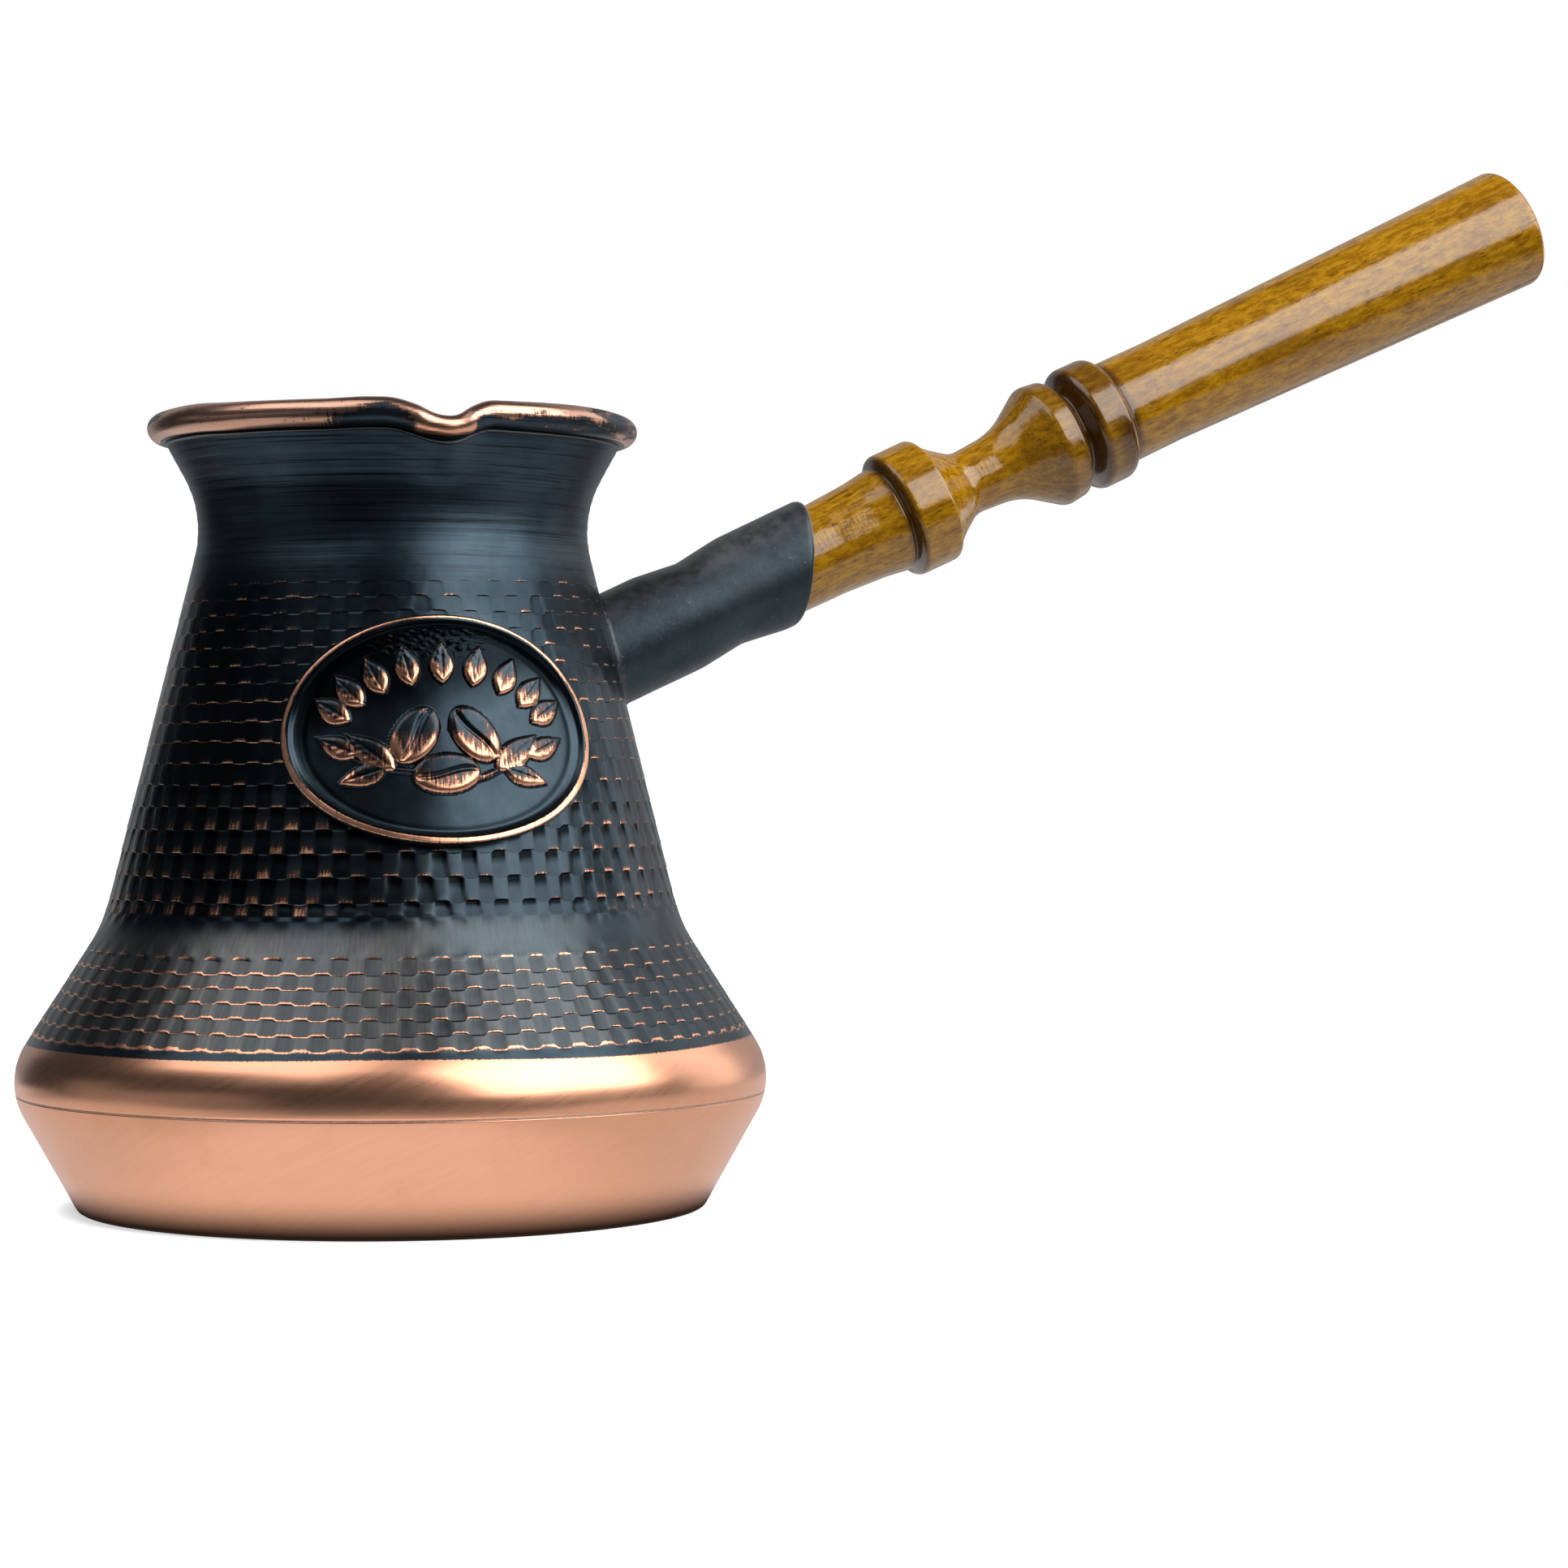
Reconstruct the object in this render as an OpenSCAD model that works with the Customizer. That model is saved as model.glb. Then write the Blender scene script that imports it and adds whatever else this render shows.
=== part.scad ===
// Copper coffee pot with a flared shoulder, a narrow neck, a rolled rim with a pressed spout,
// an oval plaque and a turned wooden handle in a tilted copper socket.
// +Z is up, the handle points to +X and the spout and plaque face -Y.
// The origin is the centre of the flat foot, on the pot's axis.

/* [Pot outline] */
// Radius of the foot, before its edge is rounded
foot_r = 44.4; // [42:0.1:46]
// Radius where the lower wall and the shoulder would meet in a sharp edge
belly_r = 54.8; // [53:0.1:57]
// Height of that edge
belly_z = 18.5; // [17:0.1:20]
// Rounding of the belly
belly_round = 9.9; // [7:0.1:11]
// Radius where the shoulder meets the tapered body
shoulder_r = 40.75; // [39:0.05:42]
// Height of that meeting
shoulder_z = 40.4; // [38:0.1:42]
// Rounding between the shoulder and the tapered body
shoulder_round = 25; // [15:1:30]
// Radius where the taper and the mouth flare would meet
neck_r = 26.6; // [25:0.1:28]
// Height of that meeting
neck_z = 97.9; // [96:0.1:99]
// Rounding of the neck
neck_round = 15.5; // [12:0.5:17]
// Outer radius of the wall under the rim
lip_r = 32.4; // [31:0.1:33]
// Height of the wall under the rim
lip_z = 108.6; // [108:0.1:109]

/* [Sheet] */
// Thickness of the copper wall and of the pan
wall_t = 1.6; // [1.2:0.1:2]
// Thickness drawn for the tin inside
tin_t = 0.2; // [0.1:0.05:0.3]
// Height of the seam between the pan and the body
seam_z = 16.5; // [14:0.1:17]
// Width of the solder line in the seam
seam_gap = 0.3; // [0.2:0.05:0.5]

/* [Rim and spout] */
// Radius of the rolled rim
bead_r = 1.9; // [1.7:0.05:2.1]
// Radius of the wire that the rim is rolled around
wire_r = 0.9; // [0.7:0.05:1]
// Distance of the rim's centre line from the pot's axis
rim_r = 32.8; // [32:0.1:33.5]
// Height of the rim's centre line
rim_z = 110.1; // [109.5:0.1:110.5]
// Half of the angle that the spout takes up
spout_half = 9.5; // [7:0.5:12]
// How far the spout dips below the rim
spout_drop = 2; // [1:0.1:2.5]
// How far the spout stands out from the rim
spout_push = 0.7; // [0:0.1:1.2]

/* [Plaque] */
// Height of the plaque's centre
plaque_z = 67; // [64:0.1:69]
// Half of the plaque's width, seen from the front
plaque_half_w = 20.1; // [18:0.1:22]
// Turn of the plaque's centre from the front, in degrees
plaque_turn = -1.7; // [-4:0.1:4]
// Half of the plaque's height
plaque_half_h = 15.6; // [13:0.1:17]
// Thickness of the plaque's plate
plate_t = 0.8; // [0.6:0.1:1.2]
// Width of the raised frame
frame_w = 1.8; // [1.2:0.1:2.5]
// Height of the frame above the plate
frame_h = 0.9; // [0.5:0.1:1.2]
// Height of the relief above the plate
relief_h = 0.6; // [0.3:0.1:0.8]
// Thickness of the solder behind the plaque
pad_t = 0.2; // [0.1:0.05:0.3]

/* [Socket] */
// Outer radius of the socket at both ends
socket_r = 8.25; // [8:0.05:8.5]
// Outer radius at the crimp
crimp_r = 7.35; // [7.2:0.05:7.6]
// Distance of the crimp along the handle
crimp_a = 51.8; // [50:0.1:54]
// Thickness of the socket's sheet
socket_t = 1.2; // [1:0.1:1.3]
// Distance of the socket's upright mouth from the pot's axis
mouth_x = 60.8; // [59:0.1:63]
// Size of the braze fillet around the socket
braze_w = 1.2; // [0.8:0.1:1.6]

/* [Handle] */
// Height at which the handle's axis crosses the pot's axis
handle_z = 64.5; // [62:0.1:67]
// Upward tilt of the handle, in degrees
handle_tilt = 24.8; // [23:0.1:27]
// Distance of the tenon's inner end along the handle
tenon_a = 46; // [44:0.5:48]
// Distance of the grip's end along the handle
grip_end_a = 197.2; // [190:0.1:205]
// Radius of the grip at its end
grip_end_r = 9.45; // [9:0.05:10]
// Radius of the collar and of the bead
turning_r = 9.6; // [9.2:0.05:10]
// Radius of the thin neck
thin_r = 5; // [4.5:0.1:5.5]

/* [Screw] */
// Distance of the handle screw along the handle
screw_a = 58; // [57:0.5:59]
// Turn of the screw round the handle, from its underside to the side away from the spout
screw_turn = 90; // [60:5:110]
// Radius of the screw's shank
screw_r = 1.2; // [1:0.1:1.4]
// Length of the screw under its head
screw_l = 8; // [6:0.5:10]
// Radius of the screw's head
screw_head_r = 2.5; // [2.2:0.1:2.8]

/* [Hidden] */

// Straight steps in each rounded corner of an outline
STEPS = 10;
// A size larger than the whole pot, for cutting
FAR = 150;
// How much thicker than the rim's bar the rounded bends of the spout are
KNUCKLE = 1.03;
// Rounding of the foot's edge, and the least rounding inside the pot
foot_round = 0.8;
inside_round = 1.5;

COPPER = [0.85, 0.50, 0.36];
PATINA = [0.10, 0.12, 0.14];
TIN = [0.78, 0.79, 0.80];
SOLDER = [0.60, 0.61, 0.62];
BRAZE = [0.55, 0.52, 0.45];
WOOD = [0.62, 0.38, 0.08];
STEEL = [0.70, 0.70, 0.72];

// The pot's outer outline as [radius, height, rounding], from the middle of the foot to the rim
POT = [
    [0, 0, 0],
    [foot_r, 0, foot_round],
    [belly_r, belly_z, belly_round],
    [shoulder_r, shoulder_z, shoulder_round],
    [neck_r, neck_z, neck_round],
    [lip_r, lip_z, 0]];

// The socket's outer outline as [radius, distance along the handle, rounding]
SOCKET = [
    [socket_r, 20, 0],
    [socket_r, crimp_a - 7, 12],
    [crimp_r, crimp_a, 4],
    [socket_r, crimp_a + 7, 12],
    [socket_r + 0.15, 80, 0]];

// The turned handle's outline beyond the socket, in the same form
TURNING = [
    [7.1, 72, 0],
    [7.95, 82.6, 0],
    [7.6, 83.1, 0],
    [turning_r, 83.6, 0.8],
    [turning_r, 89.8, 1.7],
    [thin_r - 0.1, 95.3, 4],
    [thin_r + 0.4, 103.4, 12],
    [turning_r, 109.9, 1.8],
    [turning_r - 0.3, 112.7, 0.8],
    [6.6, 114.6, 0.3],
    [turning_r + 0.1, 116, 1.5],
    [turning_r + 0.1, 121, 2],
    [7.9, 122.4, 0.5],
    [7.9, 131, 20],
    [grip_end_r, grip_end_a, 1],
    [0, grip_end_a, 0]];

function unit(v) = v / norm(v);
function flat(p) = [p.x, p.y];
function side(v) = [-v.y, v.x];
function angle_of(v) = atan2(v.y, v.x);
function short_turn(t) = t > 180 ? t - 360 : t < -180 ? t + 360 : t;

// Points of the arc that rounds the corner at b, on the way from a to c
function corner(a, b, c, r) =
    let (u = unit(a - b), v = unit(c - b), half = acos(u * v) / 2,
        centre = b + unit(u + v) * r / sin(half),
        from = angle_of(b + u * r / tan(half) - centre),
        turn = short_turn(angle_of(b + v * r / tan(half) - centre) - from))
    [for (i = [0:STEPS]) centre + r * [cos(from + turn * i / STEPS), sin(from + turn * i / STEPS)]];

// An open outline with its corners rounded
function rounded(path) = [
    for (i = [0:len(path) - 1])
        if (path[i].z == 0) flat(path[i])
        else each corner(flat(path[i - 1]), flat(path[i]), flat(path[i + 1]), path[i].z)];

// The outline moved to its left by t, each corner keeping its distance and its rounding's centre
function moved(path, t) = [
    for (i = [0:len(path) - 1])
        let (last = len(path) - 1,
            u = unit(flat(path[max(i, 1)]) - flat(path[max(i, 1) - 1])),
            v = unit(flat(path[min(i, last - 1) + 1]) - flat(path[min(i, last - 1)])),
            n = side(u),
            m = side(v),
            bend = sign(cross(u, v)),
            p = flat(path[i]) + t * (n + m) / (1 + n * m))
        [p.x, p.y, path[i].z == 0 ? 0 : max(path[i].z - t * bend, t > 0 ? inside_round : foot_round)]];

function reversed(points) = [for (i = [len(points) - 1:-1:0]) points[i]];

// Outer radius of the tapered part of the wall at height z
function taper_r(z) = shoulder_r + (z - shoulder_z) * (neck_r - shoulder_r) / (neck_z - shoulder_z);

// A point of the rim's centre line in the spout, where k runs from -1 to 1 across it
function spout_point(k) =
    let (dip = (1 + cos(180 * k)) / 2, turn = spout_half * k - 90, r = rim_r + spout_push * dip)
    [r * cos(turn), r * sin(turn), rim_z - spout_drop * dip];

// Carries its children from the Z axis to the handle's axis
module along_handle() {
    translate([0, 0, handle_z]) rotate([0, 90 - handle_tilt, 0]) children();
}

// The revolved skin between two depths inside the pot's outline
module skin(outside, inside) {
    rotate_extrude($fn = 96)
        polygon(concat(rounded(moved(POT, outside)), reversed(rounded(moved(POT, inside)))));
}

// The pot without its hollow, grown by some amount
module pot_solid(grown) {
    outline = rounded(moved(POT, -grown));
    rotate_extrude($fn = 96)
        polygon(concat(outline, [[0, outline[len(outline) - 1].y]]));
}

module above(z) {
    translate([-FAR, -FAR, z]) cube(2 * FAR);
}

module rod(a, b, r) {
    run = b - a;
    translate(a)
        rotate([0, acos(run.z / norm(run)), angle_of(run)])
            cylinder(h = norm(run), r = r, $fn = 32);
}

// A round bar along the rim's centre line, down through the spout and up again
module rim_bar(r) {
    rotate([0, 0, spout_half - 90])
        rotate_extrude(angle = 360 - 2 * spout_half, $fn = 96)
            translate([rim_r, rim_z]) circle(r, $fn = 32);
    for (k = [-1:0.5:0.5]) rod(spout_point(k), spout_point(k + 0.5), r);
    for (k = [-1:0.5:1]) translate(spout_point(k)) sphere(KNUCKLE * r, $fn = 32);
}

module pot_body() {
    color(PATINA)
        difference() {
            union() {
                intersection() {
                    skin(0, wall_t);
                    above(seam_z + seam_gap / 2);
                }
                rim_bar(bead_r);
            }
            rim_bar(wire_r);
            curl_gap();
        }
}

// The gap that the rolled edge leaves under the rim
module curl_gap() {
    width = 0.25;
    rotate([0, 0, spout_half - 88])
        rotate_extrude(angle = 356 - 2 * spout_half, $fn = 96)
            translate([rim_r, rim_z]) rotate(-75)
                translate([wire_r / 2, -width / 2]) square([2 * bead_r, width]);
}

module rim_wire() {
    color(COPPER) rim_bar(wire_r);
}

module base_pan() {
    color(COPPER)
        difference() {
            skin(0, wall_t);
            above(seam_z - seam_gap / 2);
        }
}

// Fills the seam and laps over it on the inside, under the tin
module seam_solder() {
    color(SOLDER)
        intersection() {
            skin(0, wall_t);
            difference() {
                above(seam_z - seam_gap / 2);
                above(seam_z + seam_gap / 2);
            }
        }
}

module tin_lining() {
    color(TIN) skin(wall_t, wall_t + tin_t);
}

// A ring of the space in front of the tapered wall, between two distances from it
module taper_band(near, far) {
    low = plaque_z - plaque_half_h - 4;
    high = plaque_z + plaque_half_h + 4;
    rotate_extrude($fn = 96)
        polygon([
            [taper_r(low) + near, low],
            [taper_r(low) + far, low],
            [taper_r(high) + far, high],
            [taper_r(high) + near, high]]);
}

// Pushes a flat shape, drawn around the plaque's centre, through the front wall
module at_front() {
    rotate([0, 0, plaque_turn])
        translate([0, 0, plaque_z])
        rotate([90, 0, 0])
        linear_extrude(FAR / 2) children();
}

function ellipse_points(w, h) = [for (t = [0:6:354]) [w * cos(t), h * sin(t)]];

module oval(less) {
    polygon(ellipse_points(plaque_half_w - less, plaque_half_h - less));
}

// A pointed leaf from the origin towards +X
module leaf(length, width) {
    rise = [for (i = [0:8]) [length * i / 8, width / 2 * sin(180 * pow(i / 8, 0.8))]];
    polygon(concat(rise, [for (i = [7:-1:1]) [rise[i].x, -rise[i].y]]));
}

// A coffee bean with its crease
module bean(w, h) {
    difference() {
        polygon(ellipse_points(w, h));
        square([2.2 * w, 0.5], center = true);
    }
}

module motif() {
    for (t = [24:22:156])
        translate([15 * cos(t), 10 * sin(t)]) rotate(t < 90 ? t + 65 : t - 65)
            translate([-2.6, 0]) leaf(5.2, 2.2);
    translate([-4.6, -1]) rotate(62) bean(4.6, 3);
    translate([4.6, -1]) rotate(-62) bean(4.6, 3);
    translate([-11, -8]) rotate(12) leaf(10, 3);
    translate([11, -8]) rotate(168) leaf(10, 3);
}

module medallion() {
    color(PATINA) {
        intersection() {
            taper_band(pad_t, pad_t + plate_t);
            at_front() oval(0);
        }
        intersection() {
            taper_band(pad_t + plate_t / 2, pad_t + plate_t + frame_h);
            at_front() difference() {
                oval(0);
                oval(frame_w);
            }
        }
        intersection() {
            taper_band(pad_t + plate_t / 2, pad_t + plate_t + relief_h);
            at_front() motif();
        }
    }
}

module medallion_solder() {
    color(SOLDER)
        intersection() {
            taper_band(0, pad_t);
            at_front() oval(0.3);
        }
}

module socket_bar(less) {
    outline = [for (p = rounded(SOCKET)) [p.x - less, p.y]];
    along_handle()
        rotate_extrude($fn = 64)
            polygon(concat([[0, outline[0].y]], outline, [[0, outline[len(outline) - 1].y]]));
}

module handle_socket() {
    color(PATINA)
        difference() {
            socket_bar(0);
            socket_bar(socket_t);
            pot_solid(0);
            translate([mouth_x, -FAR / 2, 0]) cube(FAR);
            screw_hole();
        }
}

// Two steps of metal in the corner between the socket and the wall
module socket_braze() {
    color(BRAZE)
        difference() {
            union() {
                braze_step(braze_w, braze_w / 3);
                braze_step(braze_w / 3, braze_w);
            }
            pot_solid(0);
            socket_bar(0);
        }
}

module braze_step(along_wall, along_socket) {
    intersection() {
        along_handle() translate([0, 0, 20]) cylinder(h = 30, r = socket_r + along_wall, $fn = 64);
        pot_solid(along_socket);
    }
}

module wooden_handle() {
    tenon = [for (p = rounded(SOCKET)) if (p.y > tenon_a + 1 && p.y < 70) [p.x - socket_t, p.y]];
    color(WOOD)
        difference() {
            along_handle()
                rotate_extrude($fn = 64)
                    polygon(concat(
                        [[0, tenon_a], [tenon[0].x - 1, tenon_a], [tenon[0].x, tenon_a + 1]],
                        tenon,
                        rounded(TURNING)));
            screw_hole();
        }
}

// Carries its children from the Z axis to the screw's axis, their origin on the handle's axis
module at_screw() {
    along_handle() rotate([0, 0, screw_turn]) translate([0, 0, screw_a]) rotate([0, 90, 0]) children();
}

// The screw's space, from the outside of the socket to the middle of the tenon
module screw_hole() {
    at_screw() translate([0, 0, socket_r - screw_l]) cylinder(h = screw_l + 2, r = screw_r, $fn = 32);
}

module handle_screw() {
    seat = socket_r - 0.1;
    color(STEEL)
        at_screw()
            difference() {
                union() {
                    translate([0, 0, socket_r - screw_l]) cylinder(h = screw_l, r = screw_r, $fn = 32);
                    translate([0, 0, seat]) cylinder(h = 0.5, r = screw_head_r, $fn = 32);
                    translate([0, 0, seat + 0.5])
                        cylinder(h = 0.8, r1 = screw_head_r, r2 = 0.6 * screw_head_r, $fn = 32);
                }
                translate([0, 0, seat + 1.3]) cube([2 * screw_head_r + 1, 0.6, 1.4], center = true);
            }
}

pot_body();
base_pan();
seam_solder();
tin_lining();
rim_wire();
medallion();
medallion_solder();
handle_socket();
socket_braze();
wooden_handle();
handle_screw();
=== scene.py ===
"""A copper coffee pot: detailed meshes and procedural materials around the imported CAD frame.

Lengths are in millimetres until a mesh is made, and the frame is the CAD's: +Z up, the handle to +X,
the spout and the plaque to -Y, the origin in the middle of the foot.
"""

import math

import bpy
import numpy as np
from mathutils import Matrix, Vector


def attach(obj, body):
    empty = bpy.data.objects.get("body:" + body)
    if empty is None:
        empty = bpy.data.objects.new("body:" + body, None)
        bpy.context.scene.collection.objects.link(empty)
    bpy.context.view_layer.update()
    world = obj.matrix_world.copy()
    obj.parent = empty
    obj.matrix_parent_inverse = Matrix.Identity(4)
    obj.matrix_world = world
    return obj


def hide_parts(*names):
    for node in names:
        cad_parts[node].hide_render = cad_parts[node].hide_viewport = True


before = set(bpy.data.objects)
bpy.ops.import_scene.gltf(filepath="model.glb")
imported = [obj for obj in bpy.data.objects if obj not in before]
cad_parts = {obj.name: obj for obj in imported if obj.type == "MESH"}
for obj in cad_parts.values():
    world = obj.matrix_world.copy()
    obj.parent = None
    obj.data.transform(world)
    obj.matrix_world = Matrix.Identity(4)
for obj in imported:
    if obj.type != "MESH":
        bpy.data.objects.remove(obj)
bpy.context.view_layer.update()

MM = 0.001
TAU = 2 * math.pi
UV_MAP = "OFBake"
# The radius at which patterns count the distance round the pot
MEAN_RADIUS = 45

# ---------------------------------------- sizes, as in the CAD where it has them

# The pot's outer outline as (radius, height, rounding), from the middle of the foot to the rim
POT = [(0, 0, 0), (44.4, 0, 0.8), (54.8, 18.5, 9.9), (40.75, 40.4, 25), (26.6, 97.9, 15.5), (32.4, 108.6, 0)]
WALL = 1.6
TIN = 0.2
SEAM_Z = 16.5
SEAM_LOW, SEAM_HIGH = SEAM_Z - 0.09, SEAM_Z + 0.09
RIM_R, RIM_Z, BEAD_R = 32.8, 110.1, 1.9
SPOUT = -TAU / 4
SPOUT_LEFT, SPOUT_RIGHT, SPOUT_DROP, SPOUT_PUSH = 9.0, 7.0, 2.0, 0.8
BARE_TOP = 24.1

PLAQUE_Z, PLAQUE_HALF_W, PLAQUE_HALF_H = 67.0, 21.5, 15.9
PLAQUE_BACK = 0.2
PLAQUE_SHIFT = -0.94

HANDLE_Z = 64.5
HANDLE_TILT = math.radians(24.8)
MOUTH_X = 60.8
SOCKET = [(8.1, 15, 0), (8.1, 44.8, 12), (7.3, 51.8, 4), (8.25, 58.8, 12), (8.4, 80, 0)]
SOCKET_WALL = 1.2
TURNING = [
    (0, 46, 0), (5.6, 46, 0.6), (5.9, 57, 3), (7.0, 61, 2), (7.15, 72, 8), (7.55, 78.5, 10),
    (8.1, 82.5, 0.3), (7.5, 83.05, 0.2), (9.6, 83.7, 0.9), (9.62, 89.9, 0.8), (8.5, 90.5, 0.15),
    (6.9, 92.5, 0.2), (4.8, 95.6, 4), (5.35, 103.4, 12), (9.6, 109.9, 1.8), (9.25, 112.9, 0.8),
    (6.6, 114.6, 0.3), (9.7, 116.1, 1.5), (9.65, 121.0, 1.6), (8.0, 122.2, 0.35), (7.9, 131, 20),
    (9.45, 197.2, 1.0), (0, 197.2, 0)]

# The woven imprint: two bands of rows, whose heights follow a rule
UPPER_TOP, UPPER_STEP, UPPER_GROWTH = 89.48, 1.94, 0.0422
UPPER_ROWS, UPPER_END = 17, 42.6
LOWER_TOP, LOWER_STEP, LOWER_ROWS = 36.95, 1.92, 6

# Degrees about +Z of the side that the photograph shows, and the turn of the table it stands on
VIEW_FROM = -102
STAGE_TURN = math.radians(-17.8)


# ---------------------------------------- outlines

def corner(a, b, c, r, step):
    """Points of the arc that rounds the corner at b, on the way from a to c."""
    u = (a - b) / np.linalg.norm(a - b)
    v = (c - b) / np.linalg.norm(c - b)
    half = math.acos(float(u @ v)) / 2
    centre = b + (u + v) / np.linalg.norm(u + v) * r / math.sin(half)
    start = b + u * r / math.tan(half) - centre
    end = b + v * r / math.tan(half) - centre
    t0 = math.atan2(start[1], start[0])
    turn = (math.atan2(end[1], end[0]) - t0 + math.pi) % TAU - math.pi
    t = t0 + turn * np.linspace(0, 1, max(4, int(abs(turn) * r / step)))
    return centre + r * np.stack([np.cos(t), np.sin(t)], 1)


def rounded(path, step=0.25):
    """An open outline of (x, y, rounding) corners with its corners rounded."""
    at = [np.array(p[:2], float) for p in path]
    parts = []
    for i, (_, _, r) in enumerate(path):
        parts.append(corner(at[i - 1], at[i], at[i + 1], r, step) if r else at[i][None])
    return np.concatenate(parts)


def moved(path, t, least=1.5):
    """The outline moved to its left by t, each corner keeping its rounding's centre."""
    at = np.array([p[:2] for p in path], float)
    run = np.diff(at, axis=0)
    run /= np.linalg.norm(run, axis=1)[:, None]
    out = []
    for i, (_, _, r) in enumerate(path):
        u, v = run[max(i - 1, 0)], run[min(i, len(run) - 1)]
        n, m = np.array([-u[1], u[0]]), np.array([-v[1], v[0]])
        p = at[i] + t * (n + m) / (1 + n @ m)
        bend = np.sign(u[0] * v[1] - u[1] * v[0])
        out.append((p[0], p[1], max(r - t * bend, least) if r else 0))
    return out


def spaced(points, step):
    """Points at even distances along an outline, about step apart, its own corners kept."""
    out = [points[:1]]
    for a, b in zip(points[:-1], points[1:]):
        n = max(1, math.ceil(np.linalg.norm(b - a) / step))
        out.append(a + (b - a) * (np.arange(1, n + 1) / n)[:, None])
    return np.concatenate(out)


OUTER = rounded(POT)


def wall_radius(z):
    """The pot's outer radius at height z."""
    return np.interp(z, OUTER[1:, 1], OUTER[1:, 0])


def wall_normal(z):
    """The outward normal (radial, upward) of the pot's wall at height z."""
    slope = (wall_radius(z + 0.3) - wall_radius(z - 0.3)) / 0.6
    size = np.sqrt(1 + slope ** 2)
    return 1 / size, -slope / size


def circle(columns):
    """Even turns all the way round."""
    return np.arange(columns) * TAU / columns


def smooth(low, high, x):
    """A soft step from 0 at low to 1 at high, whichever is the greater."""
    t = np.clip((x - low) / (high - low), 0, 1)
    return t * t * (3 - 2 * t)


def waves(x, y, size, seed, count=9):
    """A smooth random field of x and y, mostly within -1 to 1, with features about size across."""
    draw = np.random.default_rng(seed)
    total = 0
    for _ in range(count):
        way, phase = draw.uniform(0, TAU, 2)
        pitch = size * draw.uniform(0.7, 1.6)
        total = total + np.sin(TAU * (x * math.cos(way) + y * math.sin(way)) / pitch + phase)
    return total / math.sqrt(count)


# ---------------------------------------- meshes

def link(name, data):
    """A new object in the scene."""
    made = bpy.data.objects.new(name, data)
    bpy.context.scene.collection.objects.link(made)
    return made


def skin_mesh(name, grid, ring=False, caps=False, across=None, **values):
    """A mesh over grid[row, column] in mm; columns wrap round, rows too if ring, and caps close the ends.

    across gives each row's place in the UV map, and values are arrays of the grid's shape that
    become the attributes of that name.
    """
    rows, cols = grid.shape[:2]
    points = grid.reshape(-1, 3)
    i = np.arange(rows if ring else rows - 1)[:, None]
    j = np.arange(cols)[None, :]
    quads = np.stack(np.broadcast_arrays(
        i * cols + j, i * cols + (j + 1) % cols,
        (i + 1) % rows * cols + (j + 1) % cols, (i + 1) % rows * cols + j), -1).reshape(-1, 4)
    if across is None:
        step = np.linalg.norm(np.diff(grid, axis=0), axis=2).mean(1)
        across = np.concatenate([[0], np.cumsum(step)])
        across = across / across[-1] * (0.98 if ring else 1)
    upper = np.append(across, 1.0)
    v0, v1 = np.broadcast_to(across[i], (len(i), cols)), np.broadcast_to(upper[i + 1], (len(i), cols))
    u0, u1 = np.broadcast_to(j / cols, v0.shape), np.broadcast_to((j + 1) / cols, v0.shape)
    quad_uv = np.stack([u0, v0, u1, v0, u1, v1, u0, v1], -1).reshape(-1, 4, 2)
    tris, tri_uv = np.zeros((0, 3), int), np.zeros((0, 3, 2))
    flat = {k: v.reshape(-1) for k, v in values.items()}
    for row, v, way in ((0, 0.0, 1), (rows - 1, 1.0, -1)) if caps else ():
        middle = len(points)
        points = np.concatenate([points, grid[row].mean(0)[None]])
        flat = {k: np.append(a, values[k][row].mean()) for k, a in flat.items()}
        at = np.arange(cols)
        fan = np.stack([np.full(cols, middle), row * cols + (at + 1) % cols, row * cols + at], 1)
        fan_uv = np.stack([
            np.stack([(at + 0.5) / cols, np.full(cols, v)], 1),
            np.stack([(at + 1) / cols, np.full(cols, across[row])], 1),
            np.stack([at / cols, np.full(cols, across[row])], 1)], 1)
        tris = np.concatenate([tris, fan[:, ::way]])
        tri_uv = np.concatenate([tri_uv, fan_uv[:, ::way]])
    a, b, c, d = (points[quads[:, k]] for k in range(4))
    volume = np.einsum("ij,ij", a, np.cross(b, c) + np.cross(c, d))
    if len(tris):
        a, b, c = (points[tris[:, k]] for k in range(3))
        volume += np.einsum("ij,ij", a, np.cross(b, c))
    if volume < 0:
        quads, quad_uv, tris, tri_uv = quads[:, ::-1], quad_uv[:, ::-1], tris[:, ::-1], tri_uv[:, ::-1]
    uv = np.concatenate([quad_uv.reshape(-1, 2), tri_uv.reshape(-1, 2)])
    return make_mesh(name, points, quads, tris, uv, flat)


def make_mesh(name, points, quads, tris, uv, values):
    mesh = bpy.data.meshes.new(name)
    mesh.vertices.add(len(points))
    mesh.vertices.foreach_set("co", (points * MM).astype(np.float32).ravel())
    loops = np.concatenate([quads.ravel(), tris.ravel()]).astype(np.int32)
    mesh.loops.add(len(loops))
    mesh.loops.foreach_set("vertex_index", loops)
    starts = np.concatenate([np.arange(len(quads)) * 4, len(quads) * 4 + np.arange(len(tris)) * 3])
    mesh.polygons.add(len(starts))
    mesh.polygons.foreach_set("loop_start", starts.astype(np.int32))
    mesh.update(calc_edges=True)
    mesh.uv_layers.new(name=UV_MAP).data.foreach_set("uv", uv.astype(np.float32).ravel())
    for key, value in values.items():
        mesh.attributes.new(key, "FLOAT", "POINT").data.foreach_set("value", value.astype(np.float32))
    mesh.polygons.foreach_set("use_smooth", np.ones(len(starts), bool))
    return link(name, mesh)


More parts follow.
